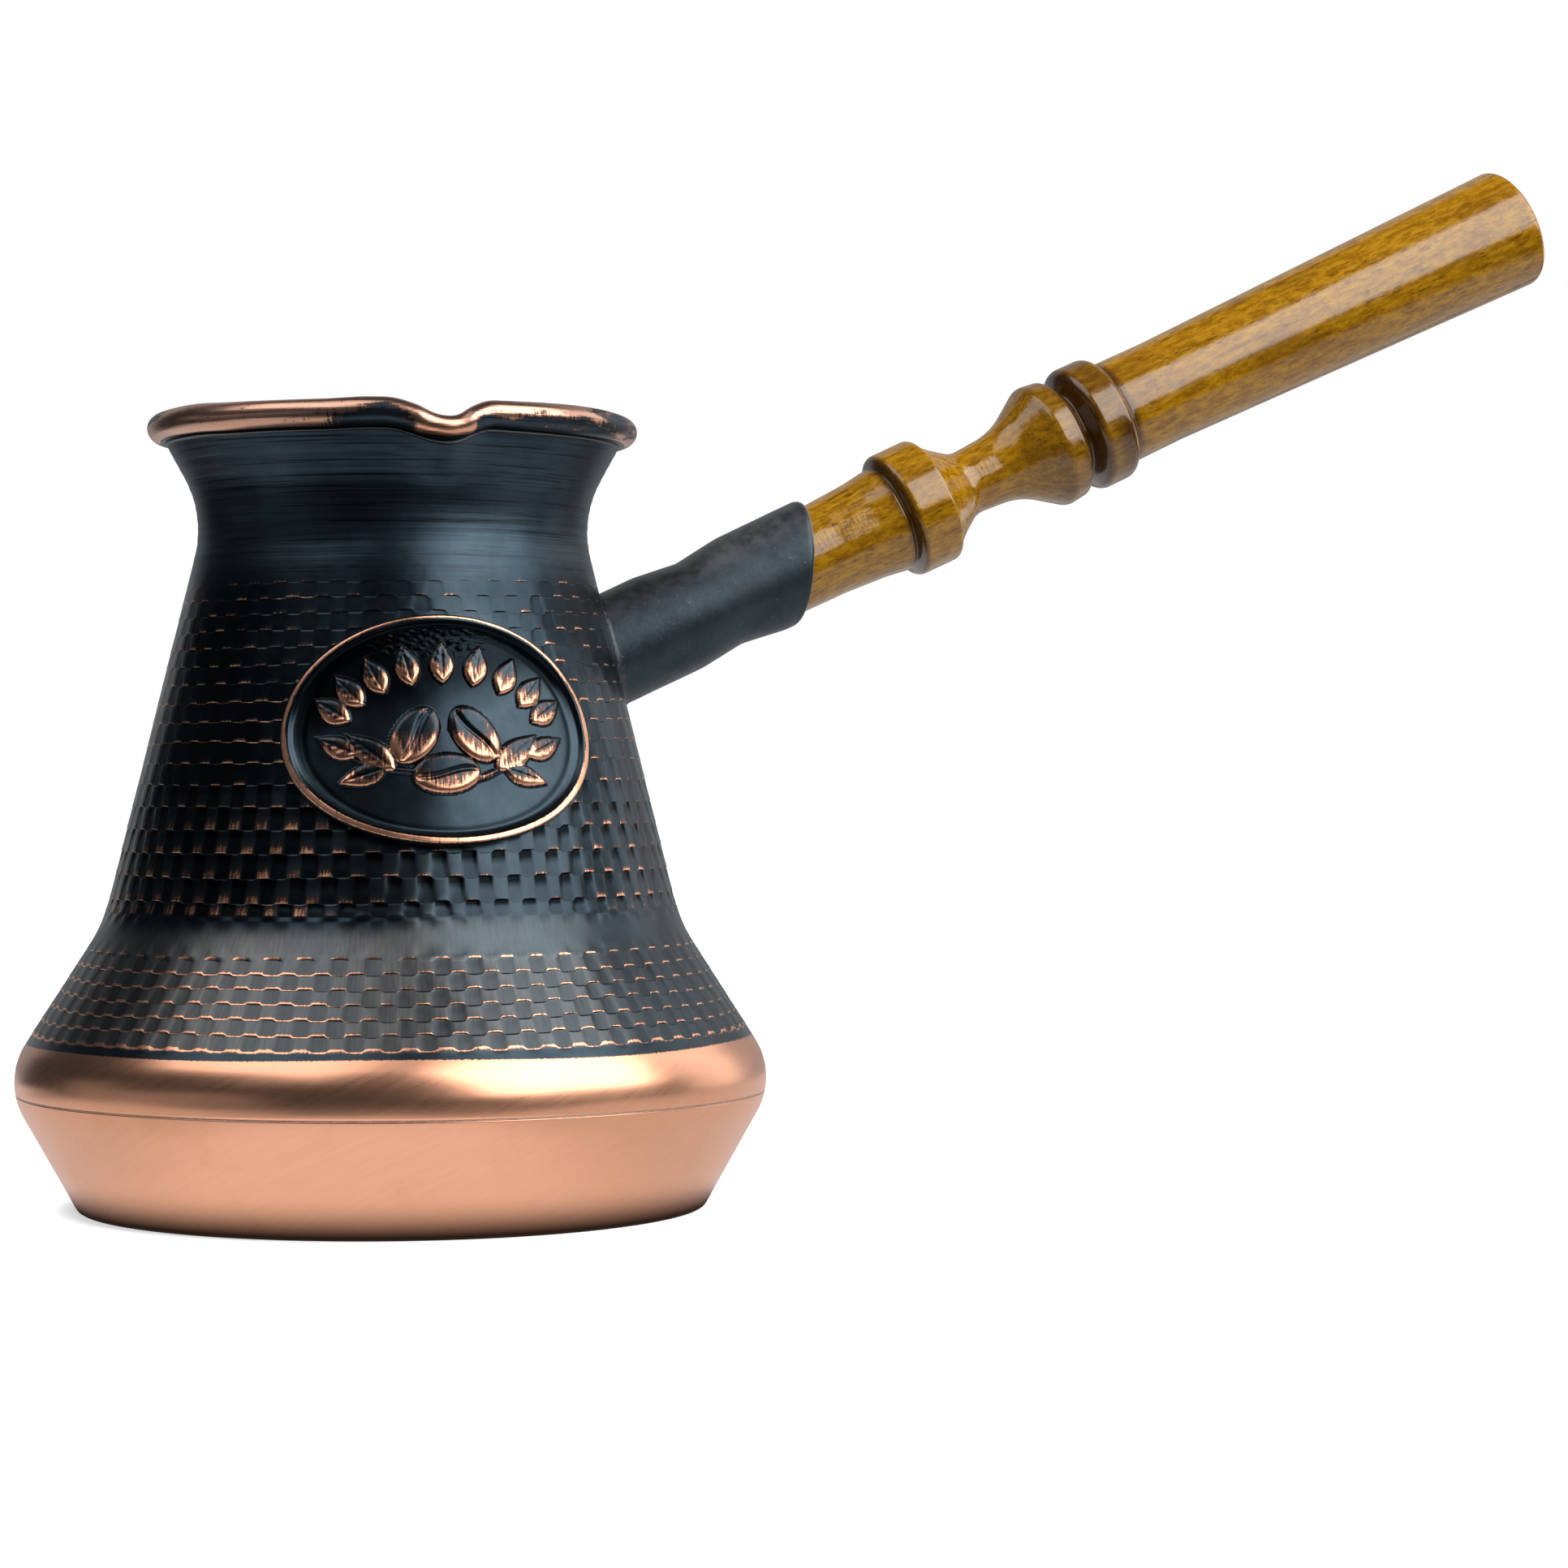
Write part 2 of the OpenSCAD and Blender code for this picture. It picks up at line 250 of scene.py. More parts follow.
def turned(radius, height, turn):
    """Points on circles about the pot's axis."""
    return np.stack([radius * np.cos(turn), radius * np.sin(turn), np.broadcast_to(height, radius.shape)], -1)


def place(piece, node, material):
    """The finished piece stands for a CAD node and rides on the frame's one body."""
    piece.data.materials.append(material)
    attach(piece, "root")
    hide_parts(node)
    return piece


# ---------------------------------------- materials

class Shader:
    """A node material, built by short calls that each return an output socket."""

    def __init__(self, name):
        self.material = bpy.data.materials.new(name)
        self.material.use_nodes = True
        self.tree = self.material.node_tree
        self.bsdf = self.tree.nodes["Principled BSDF"]

    def node(self, kind, **settings):
        made = self.tree.nodes.new(kind)
        for key, value in settings.items():
            setattr(made, key, value)
        return made

    def feed(self, socket, value):
        if isinstance(value, bpy.types.NodeSocket):
            self.tree.links.new(value, socket)
        elif value is not None:
            socket.default_value = value

    def math(self, operation, a, b=None, c=None):
        made = self.node("ShaderNodeMath", operation=operation)
        for socket, value in zip(made.inputs, (a, b, c)):
            self.feed(socket, value)
        return made.outputs[0]

    def attribute(self, name):
        return self.node("ShaderNodeAttribute", attribute_name=name).outputs["Fac"]

    def axes(self):
        """The object's own x, y and z, in metres."""
        apart = self.node("ShaderNodeSeparateXYZ")
        self.feed(apart.inputs[0], self.node("ShaderNodeTexCoord").outputs["Object"])
        return apart.outputs

    def length(self, x, y):
        return self.math("SQRT", self.math("ADD", self.math("MULTIPLY", x, x), self.math("MULTIPLY", y, y)))

    def wrapped(self):
        """Distance round the pot, counted from the spout, and height, in metres."""
        x, y, z = self.axes()
        turn = self.math("ARCTAN2", x, self.math("MULTIPLY", y, -1.0))
        made = self.node("ShaderNodeCombineXYZ")
        self.feed(made.inputs[0], self.math("MULTIPLY", turn, MEAN_RADIUS * MM))
        self.feed(made.inputs[1], z)
        return made.outputs[0], z

    def noise(self, sizes, turn=(0, 0, 0), start=None, detail=3.0, rough=0.5, distort=0.0):
        """Noise whose features are as long, wide and high as sizes, in mm, along turned axes."""
        axes = self.node("ShaderNodeMapping", vector_type="TEXTURE")
        self.feed(axes.inputs["Vector"], start or self.node("ShaderNodeTexCoord").outputs["Object"])
        axes.inputs["Scale"].default_value = [size * MM for size in sizes]
        axes.inputs["Rotation"].default_value = turn
        made = self.node("ShaderNodeTexNoise")
        for key, value in (("Vector", axes.outputs[0]), ("Scale", 1.0), ("Detail", detail),
                           ("Roughness", rough), ("Distortion", distort)):
            self.feed(made.inputs[key], value)
        return made.outputs["Fac"]

    def span(self, value, low, high, to_low=0.0, to_high=1.0):
        """value carried smoothly from low..high to to_low..to_high."""
        made = self.node("ShaderNodeMapRange", interpolation_type="SMOOTHSTEP")
        for key, number in (("Value", value), ("From Min", low), ("From Max", high),
                            ("To Min", to_low), ("To Max", to_high)):
            self.feed(made.inputs[key], number)
        return made.outputs[0]

    def mix(self, factor, a, b, blend="MIX"):
        made = self.node("ShaderNodeMix", data_type="RGBA", blend_type=blend)
        self.feed(made.inputs[0], factor)
        self.feed(made.inputs[6], (*a, 1) if isinstance(a, tuple) else a)
        self.feed(made.inputs[7], (*b, 1) if isinstance(b, tuple) else b)
        return made.outputs[2]

    def bump(self, height, strength, distance, under=None):
        made = self.node("ShaderNodeBump")
        made.inputs["Strength"].default_value = strength
        made.inputs["Distance"].default_value = distance * MM
        self.feed(made.inputs["Height"], height)
        self.feed(made.inputs["Normal"], under)
        return made.outputs[0]

    def set(self, **sockets):
        for key, value in sockets.items():
            self.feed(self.bsdf.inputs[key.replace("_", " ")], value)
        return self.material


def copper_material():
    """Bare satin copper where the bare-metal attribute is high and patina elsewhere, darkest where the
    attribute for patina and painted shade is high.

    The wear-and-sheen attribute paints the patina a paler grey, partly as rubbed wear and partly as painted
    sheen and highlight.
    """
    s = Shader("patinated_copper")
    flat, height = s.wrapped()
    upright = s.noise((0.4, 3.0, 1), start=flat, detail=2, rough=0.6)
    spun = s.noise((40, 0.9, 1), start=flat, detail=3, rough=0.7)
    slanted = s.noise((9.0, 0.6, 1), (0, 0, 0.5), start=flat, detail=4, rough=0.7)
    hair = s.noise((9.0, 0.16, 1), (0, 0, 0.08), start=flat, detail=3, rough=0.7)
    lines = s.noise((50, 0.34, 1), start=flat, detail=2, rough=0.6)
    rolled = s.noise((5.0, 0.5, 1), start=flat, detail=3, rough=0.65)
    blotch = s.noise((11, 11, 11), detail=5, rough=0.6)
    grit = s.noise((0.3, 0.3, 0.3), detail=3, rough=0.7)

    above_foot = s.span(height, 0.0004, 0.002)
    slanted = s.math("MULTIPLY_ADD", s.math("SUBTRACT", slanted, 0.5), above_foot, 0.5)
    hair = s.math("MULTIPLY_ADD", s.math("SUBTRACT", hair, 0.5), above_foot, 0.5)
    worn = s.math("MULTIPLY_ADD", s.math("SUBTRACT", upright, 0.5), 0.75, s.attribute("bare"))
    worn = s.math("MULTIPLY_ADD", s.math("SUBTRACT", grit, 0.5), 0.35, worn)
    on_rim = s.span(height, 0.1076, 0.1088)
    worn = s.math("MULTIPLY_ADD", s.math("MULTIPLY", s.math("SUBTRACT", rolled, 0.5), on_rim), 1.5, worn)
    copper = s.span(worn, 0.42, 0.66)

    patina = s.mix(s.span(blotch, 0.3, 0.7), (0.018, 0.028, 0.037), (0.036, 0.052, 0.064))
    # The patina is painted paler grey: partly rubbed wear, partly painted sheen and highlight.
    patina = s.mix(s.math("MULTIPLY", s.attribute("rub"), s.span(upright, 0.25, 0.7, 0.66, 1.0)), patina,
                   (0.172, 0.167, 0.161))
    in_neck = s.span(height, 0.086, 0.093)
    patina = s.mix(in_neck, patina, (0.010, 0.015, 0.021), "ADD")
    for marks, low, most, dark in (
            (spun, 0.52, 0.5, (0.012, 0.017, 0.022)), (lines, 0.58, 0.8, (0.004, 0.006, 0.008))):
        patina = s.mix(s.math("MULTIPLY", in_neck, s.span(marks, low, 0.66, 0.0, most)), patina, dark)
    # Painted shade: the patina goes almost black in hollows, creases and shaded places, as thick patina and
    # painted shade.
    patina = s.mix(s.math("MULTIPLY", s.attribute("pit"), 0.96), patina, (0.002, 0.003, 0.004))
    half_worn = s.span(worn, 0.26, 0.5, 0.0, 0.6)
    patina = s.mix(half_worn, patina, (0.17, 0.068, 0.036))
    metal = s.mix(s.span(slanted, 0.3, 0.7), (0.79, 0.385, 0.24), (0.815, 0.41, 0.26))
    metal = s.mix(s.span(blotch, 0.52, 0.78, 0.0, 0.35), metal, (0.66, 0.29, 0.15))
    metal = s.mix(s.math("MULTIPLY", on_rim, 0.7), metal, (0.50, 0.31, 0.245))
    colour = s.mix(copper, patina, metal)

    bright = s.math("MULTIPLY_ADD", slanted, 0.12, 0.23)
    dull = s.math("MULTIPLY_ADD", s.attribute("rub"), 0.12, s.math("MULTIPLY_ADD", blotch, 0.14, 0.22))
    dull = s.math("MULTIPLY_ADD", in_neck, 0.09, dull)
    roughness = s.math("ADD", s.math("MULTIPLY", bright, copper),
                       s.math("MULTIPLY", dull, s.math("SUBTRACT", 1.0, copper)))
    normal = s.bump(s.math("MULTIPLY", spun, in_neck), 0.5, 0.06)
    normal = s.bump(s.math("MULTIPLY", lines, in_neck), 0.5, 0.05, normal)
    normal = s.bump(slanted, 0.035, 0.03, normal)
    normal = s.bump(hair, 0.12, 0.012, normal)
    normal = s.bump(grit, 0.25, 0.012, normal)
    return s.set(Base_Color=colour, Metallic=1.0, Roughness=roughness, Normal=normal)


def socket_material():
    """Dark patina on rough sheet, painted pale where it faces up, partly as dust and partly as painted sheen,
    with pale specks and a painted pale glint at the mouth.
    """
    s = Shader("socket_patina")
    blotch = s.noise((9, 9, 9), detail=5, rough=0.6)
    skin = s.noise((1.6, 1.6, 1.6), detail=4, rough=0.65)
    grit = s.noise((0.5, 0.5, 0.5), detail=3, rough=0.7)
    colour = s.mix(s.span(blotch, 0.3, 0.7), (0.034, 0.046, 0.056), (0.052, 0.068, 0.078))
    # Paler where it faces up: dust and painted sheen.
    colour = s.mix(s.math("MULTIPLY", s.attribute("rub"), s.span(skin, 0.25, 0.65, 0.45, 1.0)), colour,
                   (0.24, 0.24, 0.25))
    colour = s.mix(s.span(grit, 0.64, 0.72, 0.0, 0.55), colour, (0.20, 0.22, 0.23))
    # A pale painted glint along the mouth's edge, partly bare metal.
    colour = s.mix(s.span(s.attribute("bare"), 0.25, 0.6), colour, (0.40, 0.43, 0.44))
    normal = s.bump(grit, 0.4, 0.03, s.bump(skin, 0.5, 0.07))
    return s.set(Base_Color=colour, Metallic=1.0, Roughness=s.span(skin, 0.2, 0.8, 0.40, 0.52), Normal=normal)


def plain_metal(name, size, dark, light, rough, bump, coarse=0.6):
    """A bare metal with one grain, given its size, two colours, range of roughness and bump."""
    s = Shader(name)
    grain = s.noise((size, size, size), detail=4, rough=coarse)
    colour = s.mix(s.span(grain, 0.3, 0.7), dark, light)
    return s.set(Base_Color=colour, Metallic=1.0, Roughness=s.span(grain, 0.2, 0.8, *rough),
                 Normal=s.bump(grain, *bump))


def tin_material():
    """Tin wiped round by hand while it was melted."""
    s = Shader("wiped_tin")
    flat, _ = s.wrapped()
    swirl = s.noise((9, 3, 1), (0, 0, 0.2), start=flat, detail=5, rough=0.65, distort=1.2)
    fine = s.noise((4, 0.5, 1), start=flat, detail=4, rough=0.6)
    colour = s.mix(s.span(swirl, 0.3, 0.7), (0.50, 0.49, 0.47), (0.72, 0.71, 0.69))
    colour = s.mix(s.span(fine, 0.55, 0.8, 0.0, 0.4), colour, (0.82, 0.81, 0.79))
    normal = s.bump(fine, 0.3, 0.04, s.bump(swirl, 0.5, 0.25))
    rough = s.span(swirl, 0.2, 0.8, 0.26, 0.42)
    return s.set(Base_Color=colour, Metallic=1.0, Roughness=rough, Normal=normal)


def wood_material():
    """Amber stained hardwood, mottled across its grain, under a thick gloss lacquer."""
    s = Shader("lacquered_wood")
    tilt = (0, -HANDLE_TILT, 0)
    grain = s.noise((14, 1.1, 1.1), tilt, detail=4, rough=0.6, distort=0.4)
    mottle = s.noise((2.2, 0.8, 0.8), tilt, detail=4, rough=0.7)
    curl = s.noise((0.5, 2.6, 2.6), tilt, detail=3, rough=0.6)
    cloud = s.noise((16, 6, 6), tilt, detail=3, rough=0.55)
    fleck = s.noise((3.4, 0.5, 0.5), tilt, detail=3, rough=0.7)
    stain = s.attribute("stain")

    colour = s.mix(s.span(mottle, 0.34, 0.66), (0.21, 0.088, 0.001), (0.40, 0.195, 0.002))
    colour = s.mix(s.span(grain, 0.52, 0.72, 0.0, 0.55), colour, (0.12, 0.042, 0.001))
    colour = s.mix(s.span(curl, 0.52, 0.75, 0.0, 0.35), colour, (0.38, 0.175, 0.006))
    colour = s.mix(s.span(cloud, 0.5, 0.75, 0.0, 0.55), colour, (0.125, 0.043, 0.002))
    colour = s.mix(s.span(fleck, 0.57, 0.68, 0.0, 0.75), colour, (0.065, 0.022, 0.001))
    colour = s.mix(s.math("MULTIPLY", stain, 0.9), colour, (0.042, 0.012, 0.002))
    ripple = s.bump(curl, 0.35, 0.05, s.bump(grain, 0.35, 0.10))
    lacquer = s.bump(curl, 0.35, 0.06, s.bump(mottle, 0.3, 0.07))
    return s.set(Base_Color=colour, Roughness=0.6, Specular_IOR_Level=0.0, Normal=ripple, Coat_Normal=lacquer,
                 Coat_Weight=1.0, Coat_Roughness=s.span(mottle, 0.3, 0.7, 0.08, 0.20), Coat_IOR=1.6)


# ---------------------------------------- camera, light and stage

def toward(turn, rise):
    """The direction at a turn about +Z from +X and a rise above level."""
    return Vector((math.cos(turn) * math.cos(rise), math.sin(turn) * math.cos(rise), math.sin(rise)))


def aim(thing, direction):
    thing.rotation_mode = "QUATERNION"
    thing.rotation_quaternion = direction.to_track_quat("-Z", "Y")


def make_camera():
    """The photograph's view: nearly level, 12 degrees to the left of the spout, from 0.55 m."""
    lens = bpy.data.cameras.new("camera")
    lens.lens, lens.sensor_width = 88.34, 36.0
    camera = link("camera", lens)
    camera.location = (-0.1211, -0.5382, 0.0619)
    aim(camera, toward(math.radians(90 - 18.472), math.radians(-0.208)))
    bpy.context.scene.camera = camera


def make_light(name, azimuth, elevation, distance, width, height, power, colour=(1, 1, 1)):
    """A softbox that faces the pot. Azimuth 0 is on the camera's side of the pot, positive to the right."""
    away = toward(math.radians(azimuth + VIEW_FROM), math.radians(elevation))
    light = bpy.data.lights.new(name, "AREA")
    light.shape, light.size, light.size_y = "RECTANGLE", width, height
    light.energy, light.color = power, colour
    lamp = link(name, light)
    lamp.location = Vector((0.02, 0, 0.07)) + away * distance
    aim(lamp, -away)
    lamp.visible_camera = False
    return lamp


def flat_stage(name, across, deep, centre, height, material):
    """A stage rectangle that lies square to the camera's view."""
    mesh = bpy.data.meshes.new(name)
    x, y = across / 2, deep / 2
    mesh.from_pydata([(-x, -y, 0), (x, -y, 0), (x, y, 0), (-x, y, 0)], [], [(0, 1, 2, 3)])
    mesh.materials.append(material)
    plane = link(name, mesh)
    plane.location = (*centre, height)
    plane.rotation_euler = (0, 0, STAGE_TURN)
    return plane


def stage_floor():
    """A pale floor that is lit near the pot and glows further off, so that it meets the white world."""
    s = Shader("floor")
    x, y, _ = s.axes()
    s.set(Base_Color=(0.9, 0.9, 0.9, 1), Roughness=0.9, Specular_IOR_Level=0.0, Emission_Color=(1, 1, 1, 1),
          Emission_Strength=s.span(s.length(x, y), 0.045, 0.10, 0.55, 1.05))
    plane = flat_stage("floor", 8.0, 8.0, (0, 0), 0.0, s.material)
    plane.visible_glossy = plane.visible_diffuse = False


def reflected_floor():
    """What the metal and the lacquer see of the table: bright, dim under the belly, ending before the pot.

    Its middle lies shift to the right of the pot and as far behind it.
    """
    shift = 0.09
    s = Shader("reflected_floor")
    x, y, _ = s.axes()
    pot_x, pot_y = s.math("SUBTRACT", x, -shift), s.math("SUBTRACT", y, -shift)
    near = s.span(s.length(pot_x, pot_y), 0.0441, 0.0506)
    aside = s.span(s.math("ABSOLUTE", pot_x), 0.02, 0.055, 1.02, 0.76)
    glow = s.math("MULTIPLY", s.math("MULTIPLY", near, aside), s.span(y, -0.24, -0.17))
    s.set(Base_Color=(0, 0, 0, 1), Specular_IOR_Level=0.0,
          Emission_Color=(1, 1, 1, 1), Emission_Strength=glow)
    c, d = shift * math.cos(STAGE_TURN), shift * math.sin(STAGE_TURN)
    plane = flat_stage("reflected_floor", 0.62, 0.48, (c - d, d + c), 0.0004, s.material)
    plane.visible_camera = plane.visible_shadow = False


def make_world(seen, felt):
    """A white world to the camera and a dim one to everything else."""
    world = bpy.data.worlds.new("studio")
    bpy.context.scene.world = world
    world.use_nodes = True
    tree = world.node_tree
    path = tree.nodes.new("ShaderNodeLightPath")
    mix = tree.nodes.new("ShaderNodeMix")
    mix.data_type = "RGBA"
    mix.inputs[6].default_value = (*felt, 1)
    mix.inputs[7].default_value = (*seen, 1)
    tree.links.new(path.outputs["Is Camera Ray"], mix.inputs[0])
    tree.links.new(mix.outputs[2], tree.nodes["Background"].inputs["Color"])


make_camera()
make_world((1.0, 1.0, 1.0), (0.028, 0.036, 0.044))
stage_floor()
reflected_floor()
make_light("softbox_right", 54, 34, 0.75, 0.86, 0.70, 8.0, (1.0, 0.99, 0.97))
make_light("softbox_left", -58, 55, 0.9, 0.90, 0.60, 3.4)
make_light("side_right", 113, 18, 0.9, 0.5, 0.7, 1.25)
make_light("low_left", -75, 1, 0.9, 1.3, 0.2, 0.22)
make_light("backdrop", 165, 20, 0.9, 2.2, 1.3, 3.4, (0.97, 0.99, 1.0))
make_light("overhead", 0, 89, 1.1, 0.9, 0.9, 6.0).visible_glossy = False
bpy.context.scene.view_settings.view_transform = "Standard"


# ---------------------------------------- the pot's body

COLUMNS = 1080
theta = circle(COLUMNS)
FRONT = math.radians(VIEW_FROM)
# Each column's turn from the photographed side, and how far it lies to the left or right of it
facing = (theta - FRONT + math.pi) % TAU - math.pi
leftward = smooth(-0.02, 0.35, -np.sin(facing)) * smooth(-0.3, 0.3, np.cos(facing) + 0.3)
rightward = smooth(-0.1, 0.2, np.sin(facing))
rightmost = smooth(0.55, 0.75, np.sin(facing))


def press_spout(points):
    """Pushes the rim and the wall below it down and out at the spout, and bends the rim beside it."""
    turn = np.arctan2(points[..., 1], points[..., 0])
    radius = np.hypot(points[..., 0], points[..., 1])
    along = ((turn - SPOUT + math.pi) % TAU - math.pi) * RIM_R
    across = along / np.where(along < 0, SPOUT_LEFT, SPOUT_RIGHT)
    dip = (0.5 + 0.5 * np.cos(math.pi * np.clip(across, -1, 1))) ** 1.15
    reach = smooth(97, 109, points[..., 2])
    radius = radius + SPOUT_PUSH * dip * reach ** 2
    seen = np.degrees((turn - FRONT + math.pi) % TAU - math.pi)
    sag = 0.2 * smooth(-56, -42, seen) * smooth(-6, -18, seen)
    drop = (SPOUT_DROP * dip + sag) * reach
    return np.stack([radius * np.cos(turn), radius * np.sin(turn), points[..., 2] - drop], -1), dip


def wall_row(z, relief=0.0, bare=0.0, pit=0.0, rub=0.0):
    """One row of the wall over all columns: height, relief along the normal, bare copper, patina darkened
    with painted shade, and patina paled as wear and painted sheen.
    """
    return np.stack([np.broadcast_to(v, theta.shape) for v in (z, relief, bare, pit, rub)])


def cells(z, number):
    """The checkerboard of one row of cells: its crisp and its gentle wave, and each column's cell number."""
    width = 2.12 + 0.13 * smooth(42, 38, z) + 0.06 * smooth(60, 70, z)
    count = 2 * round(TAU * float(wall_radius(z)) / (2 * width))
    place_in_row = count * facing / TAU + number + 0.22 * waves(facing * 30, number * 9, 60, 5)
    wave = np.sin(math.pi * place_in_row)
    return np.tanh(3.2 * wave), np.tanh(1.6 * wave) / 0.92, np.floor(place_in_row).astype(int) % count


# How far each column's patina is painted paler grey: partly rubbed wear, partly painted sheen; less on the
# right
rubbed = 0.8 + 0.3 * waves(facing * 40, 0 * facing, 30, 17) - 0.5 * smooth(0.5, 1.0, np.sin(facing))
rubbed = np.clip(rubbed, 0, 1)


def edge_strength(z):
    """How much copper shows on the edges at height z, over all columns."""
    flare = smooth(40, 36, z)
    low = smooth(60, 56, z) * (1 - flare)
    high = 1 - flare - low
    left, right = smooth(0.05, 0.4, -np.sin(facing)), smooth(0.55, 0.8, np.sin(facing))
    level = flare * (0.73 + 0.2 * left) + low * (0.46 + 0.12 * left + 0.1 * right)
    level = level + high * (0.46 + 0.2 * left + 0.26 * right)
    patchy = waves(facing * 40, z, 26, 11) * 0.12 + waves(facing * 40, z * 3.0, 9, 12) * 0.12
    return np.clip(level + patchy * (1 - 0.5 * flare), 0, 1.1)


def joined_lines(z):
    """How far the copper dashes at height z run together into lines."""
    left = smooth(math.radians(2), math.radians(-14), facing)
    flare = smooth(40, 36, z)
    middle_rows = smooth(62, 64, z) * smooth(73, 71, z)
    level = 0.14 + left * (0.3 + 0.45 * flare) + 0.6 * middle_rows + 0.8 * smooth(27.5, 26.0, z)
    return np.clip(level + 0.26 * waves(facing * 40, z * 4.0, 18, 13), 0, 1)


MOST_CELLS = 400
# The rings of one row of cells: heights over its foot, then depths under its top
OVER_FOOT = (0.0, 0.09, 0.2, 0.36, 0.62)
UNDER_TOP = (0.75, 0.42, 0.2, 0.08)


def weave_rows(levels, first):
    """Rows of raised and sunk cells between the levels, which rise; first numbers the lowest row.

    A raised cell stands out most at its foot, where it is rubbed bright, and over the cell below it, whose
    top is sunk. Low on the taper those sunk tops are deep and painted black as shadow, and sunk cells and the
    cells' edges are painted darker as shade.
    """
    levels = np.array(levels)
    count = len(levels)
    middles = (levels + np.append(levels[1:], levels[-1])) / 2
    patterns = [cells(middles[k], first + k) for k in range(count)]
    shifts = [0.19 * patterns[k][0] * smooth(91, 84, levels[k]) * (1 - 0.5 * leftward)
              + 0.09 * waves(facing * 40, levels[k] * 7, 30, 3) for k in range(count)]
    out = []
    for k in range(count - 1):
        low, high = levels[k], levels[k + 1]
        height = high - low
        wave, gentle, number = patterns[k]
        draw = np.random.default_rng(first + k)
        middle = middles[k]
        in_flare = float(smooth(42, 38, middle))
        depth = draw.uniform(0.65, 1.2, MOST_CELLS)[number]
        wear = draw.uniform(0.3 + 0.4 * in_flare, 1.2, MOST_CELLS)[number]
        deep = float(smooth(62, 55, middle) * smooth(40, 44, middle))
        fade = smooth(90.5, 82, middle)
        raised, sunk = np.clip(wave * 1.3, 0, 1), np.clip(-wave * 1.3, 0, 1)
        dash = raised * wear
        strength, tie = edge_strength(low), joined_lines(low)
        if first and k == 0:
            strength = 0.25 * strength
        soft = 1.5 * deep * leftward + 0.5 * deep * smooth(0.4, 0.7, np.sin(facing)) + 0.15 * (1 - in_flare)
        reach = 0.17 + 0.13 * in_flare * leftward + (0.30 + soft) * dash
        # The flare's patina is paled, partly as wear and partly as painted sheen, and less on the right.
        rub = (0.85 * in_flare + 0.1 * deep) * (0.72 + 0.28 * raised) * rubbed * (1 - 0.55 * rightward)
        last = height - np.array(UNDER_TOP)
        for above in (*OVER_FOOT, (OVER_FOOT[-1] + last[0]) / 2, *last):
            below, t = height - above, above / height
            tilt_out = 0.02 + (0.04 + 0.04 * deep) * math.exp(-above / 0.8)
            notch = (0.035 + 0.13 * deep) * math.exp(-(below / (0.42 * height)) ** 3)
            notch = (0.02 + 0.025 * in_flare + notch) * depth * (1 - 0.35 * leftward)
            relief = (np.maximum(gentle, 0) * tilt_out - np.maximum(-gentle, 0) * notch) * fade
            line = np.clip(1 - above / reach, 0, 1) * strength * np.clip(tie + 1.1 * dash, 0, 1)
            ticked = np.clip(1 - np.abs(wave) / 0.8, 0, 1) * np.clip(1 - above / 1.2, 0, 1) * (wear > 0.85)
            patch = leftward * raised * (0.40 + 0.15 * wear) * np.clip(2.0 - above / 1.0, 0, 1)
            spot = rightmost * raised * (0.30 + 0.12 * wear) * np.clip(1.6 - above / 0.6, 0, 1)
            patch = deep * np.maximum(patch, spot)
            bare = np.maximum(np.maximum(line, ticked * strength * 0.6), patch) * smooth(91, 86, low)
            # Painted shadow: the tops of the deep sunk cells go black, and all sunk cells are darkened as
            # painted shade and thicker patina.
            black = math.exp(-(below / (0.36 * height)) ** 4)
            hollow = np.clip(3 * sunk, 0, 1) * deep
            pit = sunk * depth * (0.14 + 0.08 * in_flare + 0.14 * deep) + hollow * 1.2 * black
            # Painted shade along the cells' edges, and on the left of the taper where no copper shows.
            outline = smooth(0.85, 0.2, np.abs(wave)) * (0.26 - 0.15 * leftward) * (0.5 + 0.5 * black)
            shade = 0.45 * leftward * (1 - in_flare) * (bare < 0.1)
            pit = np.clip(np.maximum(pit, outline) + shade, 0, 1) * fade
            z = (low + shifts[k]) * (1 - t) + (high + shifts[k + 1]) * t
            out.append(wall_row(z, relief, bare, pit, rub))
        if k < count - 2:
            over = np.clip(patterns[k + 1][0] + joined_lines(high), 0, 1) * edge_strength(high)
            over = 0.5 * over * smooth(91, 86, high)
            out.append(wall_row(high - 0.03 + shifts[k + 1], 0.0, over, 0.3 * sunk * fade, rub))
    top = 1.25 * edge_strength(levels[-1]) * np.clip(patterns[-1][0], 0, 1) * smooth(91, 86, levels[-1])
    out.append(wall_row(levels[-1] + shifts[-1], 0.03 * fade, top, 0, rub))
    return out


def worn_rows(low, high):
    """The rubbed band between the two woven ones, where the cells fade into upright streaks."""
    _, below, _ = cells(low - 1, LOWER_ROWS)
    _, above, _ = cells(high + 1, 40)
    out = []
    for t in np.linspace(0.08, 0.92, 13):
        z = low + (high - low) * t
        fade_low, fade_high = smooth(0.45, 0.0, t), smooth(0.6, 1.0, t)
        relief = 0.05 * below * fade_low + 0.07 * above * fade_high
        # Painted shade in the sunk cells above; the band's patina is paled as wear and painted sheen.
        pit = 0.35 * np.clip(-above, 0, 1) * fade_high
        flutes = 0.012 * waves(facing * 43, z * 0.35, 6, 44)
        rub = (0.85 - 0.68 * rightward) * rubbed * smooth(0.9, 0.4, t - 0.3 * rightward)
        out.append(wall_row(z, relief + flutes, 0.25 * fade_low * edge_strength(low), pit, rub))
    return out


